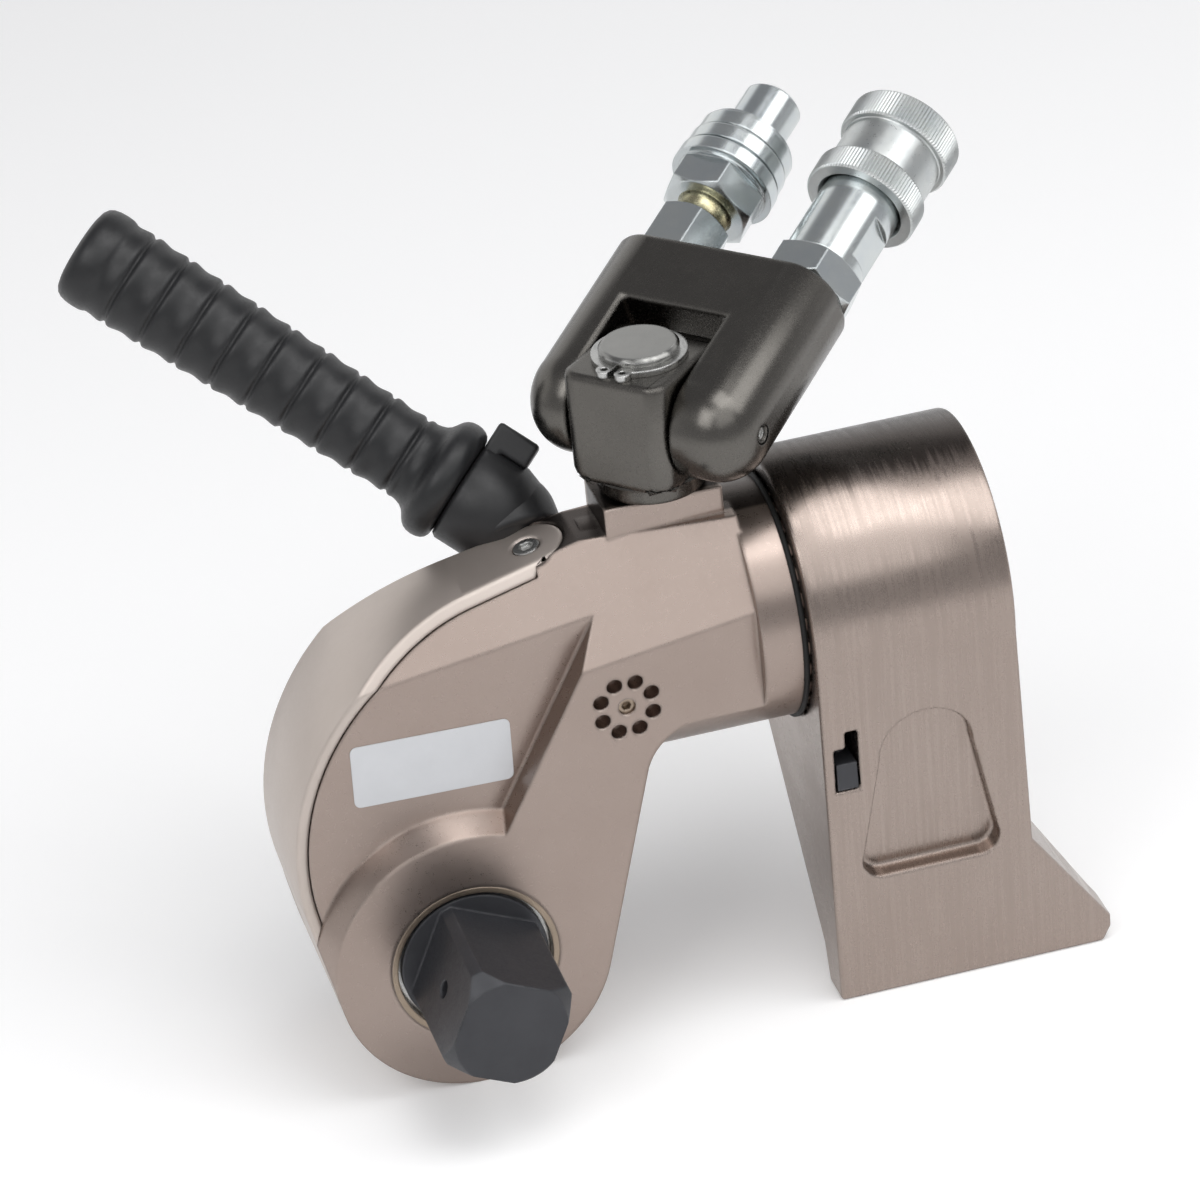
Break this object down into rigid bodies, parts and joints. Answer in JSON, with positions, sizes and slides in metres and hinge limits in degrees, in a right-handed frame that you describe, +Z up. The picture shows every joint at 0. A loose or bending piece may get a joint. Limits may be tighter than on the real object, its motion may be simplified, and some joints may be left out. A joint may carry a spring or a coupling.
{
  "type": "hydraulic torque wrench",
  "caption": "Square-drive hydraulic torque wrench with a ratchet head, splined reaction arm, tilting hose swivel with quick couplers and a screw-in handle.",
  "frame": {"origin": "on the drive axis, in the face of the head that the square stands out of", "axes": "+X along the piston from the head to the reaction arm, +Y along the drive axis away from the square, +Z up"},
  "size_m": [0.2185, 0.141, 0.2022],
  "materials": {
    "nickel": "satin nickel plate on steel",
    "anodised": "dark bronze-grey anodised",
    "zinc": "bright zinc plate",
    "black_oxide": "black oxide",
    "steel": "plain machined steel",
    "bronze": "bearing bronze",
    "seal_rubber": "seal rubber",
    "grip_rubber": "matt ribbed rubber",
    "black_plastic": "matt black"
  },
  "bodies": {
    "housing": {"housing": "nickel", "shroud": "nickel", "shroud_screws": "steel", "vent_screw": "steel", "front_bush": "bronze", "rear_bush": "bronze", "rod_gland": "steel", "gland_seal": "seal_rubber", "end_cap": "steel", "end_cap_seal": "seal_rubber", "spindle": "steel", "spindle_circlip": "steel", "spindle_seals": "seal_rubber", "handle_base": "black_plastic", "handle_core": "steel", "lock_collar": "black_plastic", "grip": "grip_rubber"},
    "drive": {"ratchet": "steel", "square_drive": "black_oxide", "drive_retainer": "black_oxide", "button_spring": "steel"},
    "retainer_button": {"retainer_button": "steel"},
    "crank": {"crank": "steel", "crank_pin": "steel", "pawl_spring": "steel"},
    "drive_pawl": {"drive_pawl": "steel"},
    "piston": {"piston": "steel", "piston_seal": "seal_rubber", "piston_rod": "steel", "rod_eye": "steel"},
    "knuckle": {"knuckle": "anodised", "trunnions": "steel", "trunnion_seals": "seal_rubber"},
    "manifold": {"manifold": "anodised", "manifold_plugs": "steel", "supply_adaptor": "zinc", "supply_nipple": "zinc", "return_adaptor": "zinc", "return_body": "zinc", "return_balls": "steel", "sleeve_spring": "steel"},
    "supply_poppet": {"supply_poppet": "steel"},
    "return_poppet": {"return_poppet": "steel"},
    "return_sleeve": {"return_sleeve": "zinc"},
    "reaction_arm": {"reaction_arm": "nickel", "latch_spring": "steel"},
    "arm_latch": {"arm_latch": "black_oxide"}
  },
  "joints": [
    {"name": "drive_turn", "type": "hinge", "parent": "housing", "child": "drive", "pos_m": [0, 0, 0], "axis": [0, 1, 0], "continuous": true},
    {"name": "button_press", "type": "slide", "parent": "drive", "child": "retainer_button", "axis": [0, -1, 0], "range_m": [0, 0.003], "stiffness_N_per_m": 1500, "springref_m": -0.002},
    {"name": "crank_swing", "type": "hinge", "parent": "housing", "child": "crank", "pos_m": [0, 0.025, 0], "axis": [0, -1, 0], "range_deg": [0, 32]},
    {"name": "pawl_lift", "type": "slide", "parent": "crank", "child": "drive_pawl", "axis": [0.4695, 0, 0.8829], "range_m": [0, 0.003], "stiffness_N_per_m": 800, "springref_m": -0.003},
    {"name": "piston_slide", "type": "slide", "parent": "housing", "child": "piston", "axis": [-1, 0, 0], "range_m": [0, 0.0362]},
    {"name": "knuckle_turn", "type": "hinge", "parent": "housing", "child": "knuckle", "pos_m": [0.06, 0.025, 0.122], "axis": [0, 0, 1], "range_deg": [-180, 70]},
    {"name": "manifold_tilt", "type": "hinge", "parent": "knuckle", "child": "manifold", "pos_m": [0.06, 0.025, 0.122], "axis": [0.682, -0.7314, 0], "range_deg": [0, 140]},
    {"name": "supply_poppet_press", "type": "slide", "parent": "manifold", "child": "supply_poppet", "axis": [-0.6872, -0.6409, -0.342], "range_m": [0, 0.003], "stiffness_N_per_m": 1200, "springref_m": -0.002},
    {"name": "return_poppet_press", "type": "slide", "parent": "manifold", "child": "return_poppet", "axis": [-0.6872, -0.6409, -0.342], "range_m": [0, 0.003], "stiffness_N_per_m": 1200, "springref_m": -0.002},
    {"name": "sleeve_pull", "type": "slide", "parent": "manifold", "child": "return_sleeve", "axis": [-0.6872, -0.6409, -0.342], "range_m": [0, 0.004], "stiffness_N_per_m": 2500, "springref_m": -0.003},
    {"name": "arm_slide", "type": "slide", "parent": "housing", "child": "reaction_arm", "axis": [1, 0, 0], "range_m": [0, 0.05]},
    {"name": "latch_slide", "type": "slide", "parent": "reaction_arm", "child": "arm_latch", "axis": [0, 0, 1], "range_m": [0, 0.004]}
  ],
  "couplings": [
    {"joint": "piston_slide", "follows": "crank_swing", "m_per_rad": 0.06469}
  ]
}
